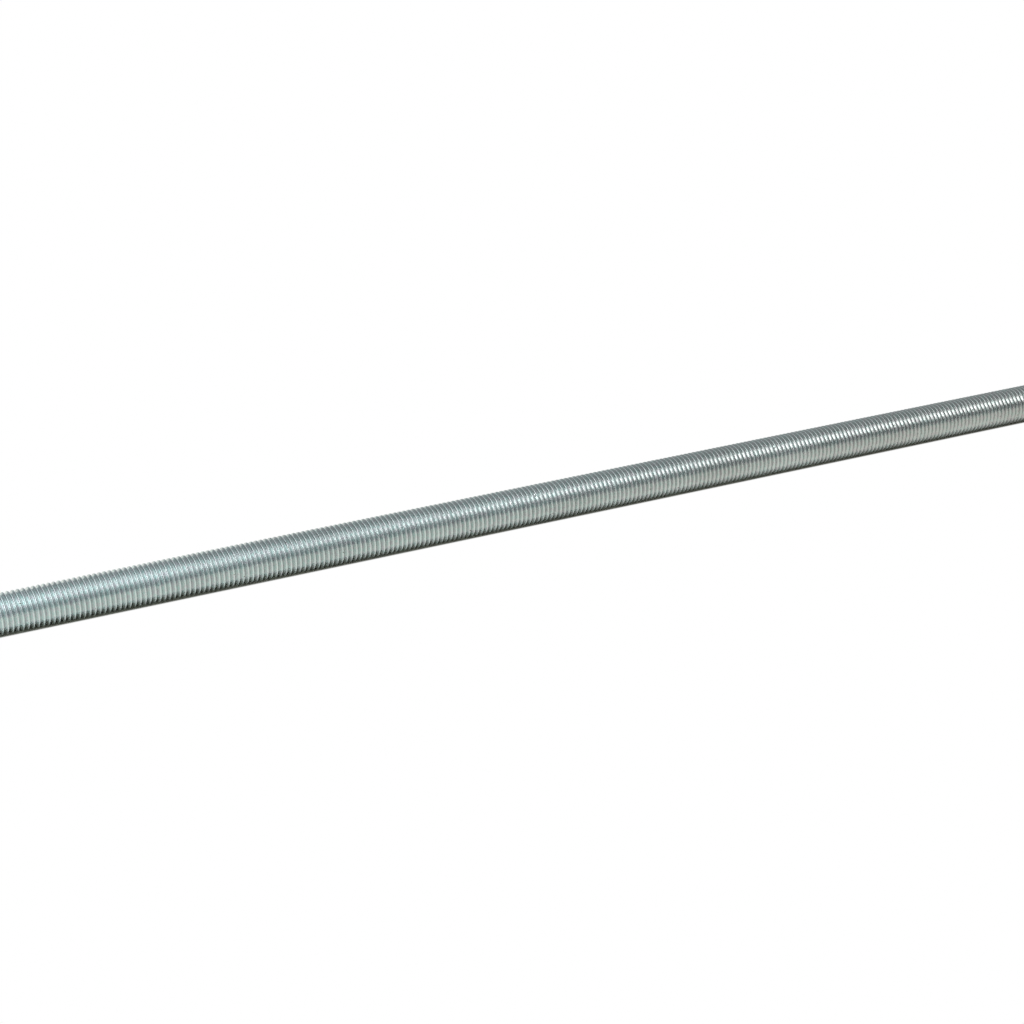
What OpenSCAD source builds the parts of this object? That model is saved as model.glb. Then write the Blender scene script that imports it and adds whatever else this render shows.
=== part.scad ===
// Threaded rod, M16 x 2: a round steel bar with a metric coarse thread from end to end.
// The rod lies along X, with the middle of its axis at the origin.

/* [Rod] */
// Cut length, from end face to end face
rod_length = 500; // [100:10:600]
// Length of the chamfer at each end, along the axis
chamfer_length = 1.6; // [0.5:0.1:3]
// Angle of the chamfer to the axis
chamfer_angle = 45; // [30:1:60]

/* [Thread] */
// Nominal diameter, over the crests
thread_d = 16; // [12:1:24]
// Pitch, from one crest to the next
pitch = 2; // [1.5:0.25:3]

/* [Hidden] */
// The basic profile of ISO metric threads: a 60 degree triangle with its crest cut by an eighth
// of its height. Its root is cut where the rolled root of a bolt thread has its lowest point.
triangle_height = pitch * sqrt(3) / 2;
thread_depth = triangle_height * 17 / 24;
crest_flat = pitch / 8;
root_flat = pitch / 6;
crest_r = thread_d / 2;
root_r = crest_r - thread_depth;

turns = ceil(rod_length / pitch) + 1;
end_r = crest_r - chamfer_length * tan(chamfer_angle);
// The blank's sides stand this far outside the crests, so only its chamfers cut the thread
clear_of_crests = 1;
chamfer_run = chamfer_length + clear_of_crests / tan(chamfer_angle);

$fn = 64;

// One crest and the flanks beside it, as [radius, height], with the crest's middle at height z
function crest_points(z) = [
    [root_r, z - pitch / 2 + root_flat / 2],
    [crest_r, z - crest_flat / 2],
    [crest_r, z + crest_flat / 2],
    [root_r, z + pitch / 2 - root_flat / 2]
];

// Half section of the endless thread: crests and roots down to the axis
module thread_section() {
    first = -(turns - 1) * pitch / 2;
    ridges = [for (i = [0 : turns - 1]) each crest_points(first + i * pitch)];
    polygon(concat([[0, first - pitch]], [[root_r, first - pitch]], ridges,
                   [[root_r, -first + pitch]], [[0, -first + pitch]]));
}

// Half section of the bar that the thread is rolled on, with its chamfered ends
module blank_section() {
    half = rod_length / 2;
    polygon([
        [0, -half],
        [end_r, -half],
        [crest_r + clear_of_crests, -half + chamfer_run],
        [crest_r + clear_of_crests, half - chamfer_run],
        [end_r, half],
        [0, half]
    ]);
}

module rod() {
    color("lightsteelblue")
    rotate([0, 90, 0])
    rotate_extrude()
    intersection() {
        thread_section();
        blank_section();
    }
}

rod();
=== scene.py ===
import math

import bmesh
import bpy
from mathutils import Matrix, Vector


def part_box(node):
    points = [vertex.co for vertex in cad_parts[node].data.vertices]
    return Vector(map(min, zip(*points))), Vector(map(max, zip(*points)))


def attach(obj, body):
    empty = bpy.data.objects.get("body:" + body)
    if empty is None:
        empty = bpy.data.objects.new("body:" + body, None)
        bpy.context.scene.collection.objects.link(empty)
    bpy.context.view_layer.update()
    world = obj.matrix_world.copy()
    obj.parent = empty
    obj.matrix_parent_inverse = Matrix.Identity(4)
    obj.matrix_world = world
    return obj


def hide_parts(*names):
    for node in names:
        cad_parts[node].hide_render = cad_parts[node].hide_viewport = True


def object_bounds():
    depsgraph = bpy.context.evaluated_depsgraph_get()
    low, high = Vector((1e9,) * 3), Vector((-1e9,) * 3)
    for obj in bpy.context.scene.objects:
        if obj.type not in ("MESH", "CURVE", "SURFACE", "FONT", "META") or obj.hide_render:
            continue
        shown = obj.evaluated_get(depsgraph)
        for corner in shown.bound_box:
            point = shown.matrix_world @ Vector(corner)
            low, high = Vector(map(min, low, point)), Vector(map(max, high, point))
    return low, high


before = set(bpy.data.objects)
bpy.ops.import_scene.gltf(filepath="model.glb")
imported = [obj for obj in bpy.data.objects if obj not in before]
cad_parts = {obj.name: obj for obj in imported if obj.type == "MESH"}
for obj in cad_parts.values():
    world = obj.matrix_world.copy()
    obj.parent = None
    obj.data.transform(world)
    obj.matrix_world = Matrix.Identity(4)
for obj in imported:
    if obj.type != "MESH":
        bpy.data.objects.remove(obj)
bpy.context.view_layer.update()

MM = 0.001


# The threaded rod. A steel bar rolled with a metric coarse thread from end to end, then cut,
# chamfered and zinc plated. It is one piece. The profile of one turn is drawn leg by leg, screwed
# along the bar as a right-hand helix, and cut to length with a chamfered blank.
(rod_start, _, _), (rod_end, _, _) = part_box("rod")
crest_r = 8.0 * MM
pitch = 2.0 * MM
chamfer = 1.6 * MM
triangle_height = pitch * math.sqrt(3) / 2
crest_rounding = triangle_height / 8
root_rounding = triangle_height / 6
root_r = crest_r - triangle_height * 17 / 24
flank_angle = math.radians(30)
reach = math.pi / 2 - flank_angle
steps_a_turn = 48
arc_steps = 3
turns = round((rod_end - rod_start) / pitch)
merge_distance = 0.002 * MM


def deselect_all():
    bpy.ops.object.select_all(action="DESELECT")


def apply_modifier(piece, kind, **settings):
    modifier = piece.modifiers.new(kind.lower(), kind)
    for setting, value in settings.items():
        setattr(modifier, setting, value)
    bpy.context.view_layer.objects.active = piece
    bpy.ops.object.modifier_apply(modifier=modifier.name)


def draw_leg(along, outward):
    bpy.ops.mesh.extrude_vertices_move(TRANSFORM_OT_translate={"value": (along, 0, outward)})


def draw_arc(radius, side):
    # an arc from flank to flank, drawn as chords; side is 1 round a crest and -1 round a root
    angles = [-reach + 2 * reach * i / arc_steps for i in range(arc_steps + 1)]
    for a, b in zip(angles, angles[1:]):
        draw_leg(radius * (math.sin(b) - math.sin(a)), side * radius * (math.cos(b) - math.cos(a)))


deselect_all()
crest_low = crest_r - crest_rounding * (1 - math.cos(reach))
root_high = root_r + root_rounding * (1 - math.cos(reach))
flank_rise = crest_low - root_high
flank_run = flank_rise * math.tan(flank_angle)
profile_start = rod_start - 1.5 * pitch
bpy.ops.mesh.primitive_plane_add(size=pitch, location=(profile_start, 0, root_high))
rod = bpy.context.object
rod.name = "threaded_rod"
bpy.ops.object.transform_apply(location=True, rotation=True, scale=True)
bpy.ops.object.mode_set(mode="EDIT")
bpy.ops.mesh.select_mode(type="VERT")
bpy.ops.mesh.select_all(action="SELECT")
bpy.ops.mesh.merge(type="CENTER")
draw_leg(flank_run, flank_rise)
draw_arc(crest_rounding, 1)
draw_leg(flank_run, -flank_rise)
draw_arc(root_rounding, -1)
bpy.ops.object.mode_set(mode="OBJECT")
apply_modifier(rod, "SCREW", axis="X", angle=2 * math.pi, screw_offset=pitch, iterations=turns + 3,
               steps=steps_a_turn, render_steps=steps_a_turn, use_merge_vertices=True,
               merge_threshold=0.001 * MM, use_smooth_shade=True)
bpy.ops.object.mode_set(mode="EDIT")
bpy.ops.mesh.select_all(action="SELECT")
bpy.ops.mesh.remove_doubles(threshold=merge_distance)
for end_x, keep_side in ((rod_start - 0.5 * pitch, 1), (rod_end + 0.5 * pitch, -1)):
    bpy.ops.mesh.select_all(action="SELECT")
    bpy.ops.mesh.bisect(plane_co=(end_x, 0, 0), plane_no=(-keep_side, 0, 0), use_fill=True,
                        clear_outer=True, threshold=0.0001 * MM)
bpy.ops.mesh.select_all(action="SELECT")
bpy.ops.mesh.normals_make_consistent(inside=False)
bpy.ops.object.mode_set(mode="OBJECT")

# the blank that the thread is cut to: its length, and the chamfers at both ends
deselect_all()
blank_r = crest_r + 1 * MM
bpy.ops.mesh.primitive_cylinder_add(vertices=96, radius=blank_r, depth=rod_end - rod_start,
                                    location=((rod_start + rod_end) / 2, 0, 0),
                                    rotation=(0, math.pi / 2, 0))
blank = bpy.context.object
bpy.ops.object.transform_apply(location=True, rotation=True, scale=True)
bpy.ops.object.mode_set(mode="EDIT")
bpy.ops.mesh.select_mode(type="FACE")
bpy.ops.mesh.select_all(action="DESELECT")
cut = bmesh.from_edit_mesh(blank.data)
for face in cut.faces:
    face.select_set(abs(face.normal.x) > 0.9)
bmesh.update_edit_mesh(blank.data)
bpy.ops.mesh.bevel(offset=chamfer + blank_r - crest_r, affect="EDGES")
bpy.ops.object.mode_set(mode="OBJECT")
apply_modifier(rod, "BOOLEAN", operation="INTERSECT", object=blank, solver="EXACT")
bpy.data.objects.remove(blank, do_unlink=True)
deselect_all()
rod.select_set(True)
bpy.context.view_layer.objects.active = rod
bpy.ops.object.mode_set(mode="EDIT")
bpy.ops.mesh.select_all(action="SELECT")
bpy.ops.mesh.remove_doubles(threshold=merge_distance)
bpy.ops.mesh.normals_make_consistent(inside=False)
bpy.ops.object.mode_set(mode="OBJECT")
bpy.ops.object.shade_smooth_by_angle(angle=math.radians(42))

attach(rod, "root")
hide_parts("rod")


def linear(hex_colour):
    channels = [int(hex_colour[i:i + 2], 16) / 255 for i in (1, 3, 5)]
    return [c / 12.92 if c <= 0.04045 else ((c + 0.055) / 1.055) ** 2.4 for c in channels] + [1]


def node(material, kind, settings=None, inputs=None):
    # adds one node; an input given as a socket is linked, and any other is a value
    made = material.node_tree.nodes.new("ShaderNode" + kind)
    for setting, value in (settings or {}).items():
        setattr(made, setting, value)
    for key, value in (inputs or {}).items():
        if isinstance(value, bpy.types.NodeSocket):
            material.node_tree.links.new(value, made.inputs[key])
        else:
            made.inputs[key].default_value = value
    return made


def new_material(name):
    material = bpy.data.materials.new(name)
    material.use_nodes = True
    material.node_tree.nodes.clear()
    return material


# Zinc electroplate with a clear blue passivation, on rolled steel: a soft grey metal gloss, with a
# painted light falloff, paler and a little bluer toward one end, with fine rolling lines along the
# thread, faint pink and green tints, painted shade at the bottom of the groove, small nicks, and
# dull specks on the crests.
zinc = new_material("zinc_electroplate_clear_blue_passivated")
place = node(zinc, "TexCoord").outputs["Object"]
axes = node(zinc, "SeparateXYZ", inputs={"Vector": place}).outputs

# where a point is on the thread: its turn, and its phase, 0 at the root and 0.5 at the crest
crest_middle = profile_start + flank_run + crest_rounding * math.sin(reach)
angle = node(zinc, "Math", {"operation": "ARCTAN2"}, {0: axes["Z"], 1: axes["Y"]}).outputs[0]
part_turn = node(zinc, "Math", {"operation": "DIVIDE"}, {0: angle, 1: 2 * math.pi}).outputs[0]
lead = node(zinc, "Math", {"operation": "MULTIPLY_ADD"},
            {0: axes["X"], 1: 1 / pitch, 2: 0.75 - crest_middle / pitch}).outputs[0]
advance = node(zinc, "Math", {"operation": "SUBTRACT"}, {0: lead, 1: part_turn}).outputs[0]
phase = node(zinc, "Math", {"operation": "FRACT"}, {0: advance}).outputs[0]
whole_turns = node(zinc, "Math", {"operation": "FLOOR"}, {0: advance}).outputs[0]
turn = node(zinc, "Math", {"operation": "ADD"}, {0: whole_turns, 1: part_turn}).outputs[0]
across = node(zinc, "CombineXYZ", inputs={"X": 0.0, "Y": axes["Y"], "Z": axes["Z"]}).outputs[0]
radius = node(zinc, "VectorMath", {"operation": "LENGTH"}, {0: across}).outputs["Value"]
crest_mask = node(zinc, "MapRange", {"interpolation_type": "SMOOTHSTEP"},
                  {"Value": radius, "From Min": crest_r - 0.35 * MM,
                   "From Max": crest_r - 0.08 * MM}).outputs[0]

# rolling lines: streaks which follow the thread
streak_width, streak_length, streak_depth = 0.12 * MM, 3 * MM, 0.001 * MM
turn_length = 2 * math.pi * (crest_r - 0.5 * MM)
streak_place = node(zinc, "CombineXYZ", inputs={
    "X": node(zinc, "Math", {"operation": "MULTIPLY"},
              {0: phase, 1: pitch / streak_width}).outputs[0],
    "Y": node(zinc, "Math", {"operation": "MULTIPLY"},
              {0: turn, 1: turn_length / streak_length}).outputs[0]}).outputs[0]
streaks = node(zinc, "TexNoise", inputs={"Vector": streak_place, "Scale": 1.0,
                                         "Detail": 2.0}).outputs[0]

# the film's tint, with a painted light falloff: paler and bluer at the start of the rod and greyer
# at its far end, as painted shade for light that dims along the rod, mixed by slow clouds, with
# faint pink and green blotches
cloud_width, blotch_width = 45 * MM, 1.5 * MM
film_in_painted_light, film_in_painted_shade = linear("#D3DEDD"), linear("#B0B4B0")
cloud = node(zinc, "TexNoise", inputs={"Vector": place, "Scale": 1 / cloud_width,
                                       "Detail": 2.0}).outputs[0]
# painted light falloff: the film is painted darker toward the rod's far end, standing in for light
# that dims along it
painted_falloff_along_rod = node(zinc, "MapRange", inputs={"Value": axes["X"], "From Min": rod_start,
                                           "From Max": rod_end, "To Min": -0.25,
                                           "To Max": 0.75}).outputs[0]
clouds_and_painted_falloff = node(zinc, "Math", {"operation": "MULTIPLY_ADD", "use_clamp": True},
                {0: cloud, 1: 0.5, 2: painted_falloff_along_rod}).outputs[0]
film = node(zinc, "MixRGB", inputs={0: clouds_and_painted_falloff, 1: film_in_painted_light, 2: film_in_painted_shade}).outputs[0]
blotch = node(zinc, "TexNoise", inputs={"Vector": place, "Scale": 1 / blotch_width,
                                        "Detail": 1.0}).outputs[0]
blotch_tint = node(zinc, "ValToRGB", inputs={0: blotch})
ramp = blotch_tint.color_ramp
ramp.elements[0].position, ramp.elements[0].color = 0.35, (0.93, 1.0, 1.0, 1)
ramp.elements[1].position, ramp.elements[1].color = 0.65, (1.0, 0.93, 0.97, 1)
ramp.elements.new(0.5).color = (1, 1, 1, 1)
tinted = node(zinc, "MixRGB", {"blend_type": "MULTIPLY"},
              {0: 1.0, 1: film, 2: blotch_tint.outputs[0]}).outputs[0]

# dull specks, about 0.5 mm across, where the film is broken on the crests
speck_spacing, speck_share, speck_colour = 1.4 * MM, 0.12, linear("#6E665B")
speck_cells = node(zinc, "TexVoronoi", inputs={"Vector": place, "Scale": 1 / speck_spacing,
                                               "Randomness": 1.0})
speck_size = node(zinc, "MapRange", {"interpolation_type": "SMOOTHSTEP"},
                  {"Value": speck_cells.outputs["Distance"], "From Min": 0.12, "From Max": 0.24,
                   "To Min": 1.0, "To Max": 0.0}).outputs[0]
speck_pick = node(zinc, "SeparateColor", inputs={"Color": speck_cells.outputs["Color"]})
few = node(zinc, "Math", {"operation": "GREATER_THAN"},
           {0: speck_pick.outputs[0], 1: 1 - speck_share}).outputs[0]
specks = node(zinc, "Math", {"operation": "MULTIPLY"}, {0: speck_size, 1: few}).outputs[0]
specks = node(zinc, "Math", {"operation": "MULTIPLY"}, {0: specks, 1: crest_mask}).outputs[0]

# painted shade: the groove is darker along its bottom, where shade falls, but the plain end faces
# are not
painted_groove_shade = 0.58
off_root = node(zinc, "Math", {"operation": "PINGPONG"}, {0: advance, 1: 0.5}).outputs[0]
end_face = node(zinc, "Math", {"operation": "LESS_THAN"},
                {0: radius, 1: root_r - 0.1 * MM}).outputs[0]
off_root = node(zinc, "Math", {"operation": "MAXIMUM"}, {0: off_root, 1: end_face}).outputs[0]
groove = node(zinc, "MapRange", {"interpolation_type": "SMOOTHSTEP"},
              {"Value": off_root, "From Min": 0.04, "From Max": 0.15,
               "To Min": painted_groove_shade, "To Max": 1.0}).outputs[0]
with_painted_groove_shade = node(zinc, "VectorMath", {"operation": "SCALE"},
               {0: tinted, "Scale": groove}).outputs[0]
coloured = node(zinc, "MixRGB", inputs={0: specks, 1: with_painted_groove_shade, 2: speck_colour}).outputs[0]

# the gloss varies softly in patches, and the specks are matt
smudge_width, least_roughness, most_roughness = 3 * MM, 0.22, 0.32
speck_roughness = (0.5, 0.5, 0.5, 1)
smudge = node(zinc, "TexNoise", inputs={"Vector": place, "Scale": 1 / smudge_width,
                                        "Detail": 4.0}).outputs[0]
gloss = node(zinc, "MapRange", inputs={"Value": smudge, "From Min": 0.35, "From Max": 0.65,
                                       "To Min": least_roughness,
                                       "To Max": most_roughness}).outputs[0]
roughness = node(zinc, "MixRGB", inputs={0: specks, 1: gloss, 2: speck_roughness}).outputs[0]

# relief: the rolling lines, the plating's fine grain, and small nicks about 1 mm across
grain_width, grain_depth = 0.25 * MM, 0.0004 * MM
nick_spacing, nick_depth = 4.6 * MM, 0.05 * MM
grain = node(zinc, "TexNoise", inputs={"Vector": place, "Scale": 1 / grain_width,
                                       "Detail": 3.0}).outputs[0]
lined = node(zinc, "Bump", inputs={"Height": streaks, "Distance": streak_depth,
                                   "Strength": 1.0}).outputs[0]
grained = node(zinc, "Bump", inputs={"Height": grain, "Distance": grain_depth, "Strength": 1.0,
                                     "Normal": lined}).outputs[0]
nick_cells = node(zinc, "TexVoronoi", inputs={"Vector": place, "Scale": 1 / nick_spacing})
nick = node(zinc, "MapRange", {"interpolation_type": "SMOOTHSTEP"},
            {"Value": nick_cells.outputs["Distance"], "From Min": 0.05,
             "From Max": 0.16}).outputs[0]
nicked = node(zinc, "Bump", inputs={"Height": nick, "Distance": nick_depth, "Strength": 1.0,
                                    "Normal": grained}).outputs[0]

shader = node(zinc, "BsdfPrincipled", inputs={"Base Color": coloured, "Metallic": 1.0,
                                              "Roughness": roughness, "Normal": nicked})
node(zinc, "OutputMaterial", inputs={"Surface": shader.outputs[0]})
rod.data.materials.clear()
rod.data.materials.append(zinc)

# The floor. A plain studio floor under the rod, which lies on the crests of its thread. It is white
# to the eye and nearly white in reflections, but in a narrow strip close under the rod it is matt
# paint that keeps the rod's shadow and is darker there, a painted shadow. It isn't part of the
# object.
floor_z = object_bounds()[0][2]
floor_size = 60
strip_to_eye, strip_in_reflections = (3.2 * MM, 4.4 * MM), (6.0 * MM, 8.2 * MM)
# painted shadow: the paint is darker in the strip close under the rod, fading to the open white
painted_shadow_paint, open_paint, painted_shadow_reach = linear("#BEBCAD"), linear("#F5F5F4"), (2.5 * MM, 7 * MM)
deselect_all()
bpy.ops.mesh.primitive_plane_add(size=floor_size, location=(0, 0, floor_z))
floor = bpy.context.object
floor.name = "studio_floor"
white = new_material("matt_white_floor")
light_path = node(white, "LightPath").outputs
seen = node(white, "Math", {"operation": "MAXIMUM"}, {0: light_path["Is Camera Ray"],
                                                      1: light_path["Is Glossy Ray"]}).outputs[0]
seen = node(white, "Math", {"operation": "MAXIMUM"},
            {0: seen, 1: light_path["Is Transmission Ray"]}).outputs[0]
floor_place = node(white, "TexCoord").outputs["Object"]
floor_axes = node(white, "SeparateXYZ", inputs={"Vector": floor_place}).outputs
beside = node(white, "Math", {"operation": "ABSOLUTE"}, {0: floor_axes["Y"]}).outputs[0]
beyond = node(white, "Math", {"operation": "ABSOLUTE"}, {0: floor_axes["X"]}).outputs[0]
beyond = node(white, "Math", {"operation": "SUBTRACT"}, {0: beyond, 1: rod_end}).outputs[0]
away = node(white, "Math", {"operation": "MAXIMUM"}, {0: beside, 1: beyond}).outputs[0]
eye_floor = node(white, "MapRange", {"interpolation_type": "SMOOTHSTEP"},
                 {"Value": away, "From Min": strip_to_eye[0],
                  "From Max": strip_to_eye[1]}).outputs[0]
mirror_floor = node(white, "MapRange", {"interpolation_type": "SMOOTHSTEP"},
                    {"Value": away, "From Min": strip_in_reflections[0],
                     "From Max": strip_in_reflections[1]}).outputs[0]
open_floor = node(white, "MixRGB", inputs={0: light_path["Is Camera Ray"], 1: mirror_floor,
                                           2: eye_floor}).outputs[0]
share = node(white, "Math", {"operation": "MULTIPLY"}, {0: seen, 1: open_floor}).outputs[0]
# painted shadow: how far from the rod the darker paint fades out
painted_shadow_mask = node(white, "MapRange", {"interpolation_type": "SMOOTHSTEP"},
                   {"Value": away, "From Min": painted_shadow_reach[0],
                    "From Max": painted_shadow_reach[1]}).outputs[0]
paint_with_painted_shadow = node(white, "MixRGB", inputs={0: painted_shadow_mask, 1: painted_shadow_paint, 2: open_paint}).outputs[0]
paint = node(white, "BsdfDiffuse", inputs={"Color": paint_with_painted_shadow}).outputs[0]
mirrored = node(white, "MixRGB", inputs={0: light_path["Is Camera Ray"],
                                         1: (1.0, 1.0, 0.95, 1), 2: (1, 1, 1, 1)}).outputs[0]
plain_white = node(white, "Emission", inputs={"Color": mirrored, "Strength": 1.0}).outputs[0]
both = node(white, "MixShader", inputs={0: share, 1: paint, 2: plain_white}).outputs[0]
node(white, "OutputMaterial", inputs={"Surface": both})
floor.data.materials.append(white)

# The studio light. A plain soft room, brighter upward and toward the rod's far end, with one wide
# soft box high over that end and a small one low beyond the start. The room is nearly white where
# it meets the floor, and to the eye it is white all round.
world = bpy.data.worlds.new("studio")
bpy.context.scene.world = world
world.use_nodes = True
world.node_tree.nodes.clear()
world_direction = node(world, "TexCoord").outputs["Generated"]


def soft_box(light_so_far, azimuth, elevation, half_angle, edge, radiance, tint):
    # adds a round soft box, seen from the rod in the given direction; its angles are in degrees
    flat = math.cos(math.radians(elevation))
    toward = (flat * math.cos(math.radians(azimuth)), flat * math.sin(math.radians(azimuth)),
              math.sin(math.radians(elevation)))
    facing = node(world, "VectorMath", {"operation": "DOT_PRODUCT"},
                  {0: world_direction, 1: toward}).outputs["Value"]
    inside = node(world, "MapRange", {"interpolation_type": "SMOOTHSTEP"},
                  {"Value": facing, "From Min": math.cos(math.radians(half_angle + edge)),
                   "From Max": math.cos(math.radians(half_angle - edge)),
                   "To Min": 0.0, "To Max": radiance}).outputs[0]
    glow = node(world, "VectorMath", {"operation": "SCALE"}, {0: tint, "Scale": inside}).outputs[0]
    return node(world, "VectorMath", {"operation": "ADD"}, {0: light_so_far, 1: glow}).outputs[0]


room_slope, room_tint = (0.5, 0.03, 0.304), (0.93, 1.0, 1.03)
room_middle, room_least, horizon_height = 0.45, 0.05, 0.07
slope = node(world, "VectorMath", {"operation": "DOT_PRODUCT"},
             {0: world_direction, 1: room_slope}).outputs["Value"]
room = node(world, "Math", {"operation": "ADD"}, {0: slope, 1: room_middle}).outputs[0]
room = node(world, "Math", {"operation": "MAXIMUM"}, {0: room, 1: room_least}).outputs[0]
height = node(world, "SeparateXYZ", inputs={"Vector": world_direction}).outputs["Z"]
horizon = node(world, "MapRange", {"interpolation_type": "SMOOTHSTEP"},
               {"Value": height, "From Min": 0.0, "From Max": horizon_height,
                "To Min": 1.0, "To Max": 0.0}).outputs[0]
room = node(world, "Math", {"operation": "MAXIMUM"}, {0: room, 1: horizon}).outputs[0]
light = node(world, "VectorMath", {"operation": "SCALE"},
             {0: room_tint, "Scale": room}).outputs[0]
light = soft_box(light, azimuth=335.4, elevation=57.8, half_angle=28.0, edge=19.0,
                 radiance=1.65, tint=(1.0, 1.0, 1.02))
light = soft_box(light, azimuth=190.6, elevation=25.9, half_angle=7.2, edge=7.2,
                 radiance=4.6, tint=(1.0, 1.0, 1.0))
to_the_eye = node(world, "LightPath").outputs["Is Camera Ray"]
light = node(world, "MixRGB", inputs={0: to_the_eye, 1: light, 2: (1, 1, 1, 1)}).outputs[0]
background = node(world, "Background", inputs={"Color": light, "Strength": 1.0}).outputs[0]
node(world, "OutputWorld", inputs={"Surface": background})

# The camera. It looks down on the rod from beyond its start, with a lens of about 84 mm on a 36 mm
# sensor, close enough that both ends are out of view.
camera = bpy.data.cameras.new("camera")
camera.sensor_width = 36
camera.lens = 84.375
camera_object = bpy.data.objects.new("camera", camera)
bpy.context.collection.objects.link(camera_object)
camera_object.location = (-0.43081, -0.80835, 0.4069)
camera_object.rotation_euler = (math.radians(90 - 24.306), 0, math.radians(-26.667))
bpy.context.scene.camera = camera_object
bpy.context.scene.view_settings.view_transform = "Standard"
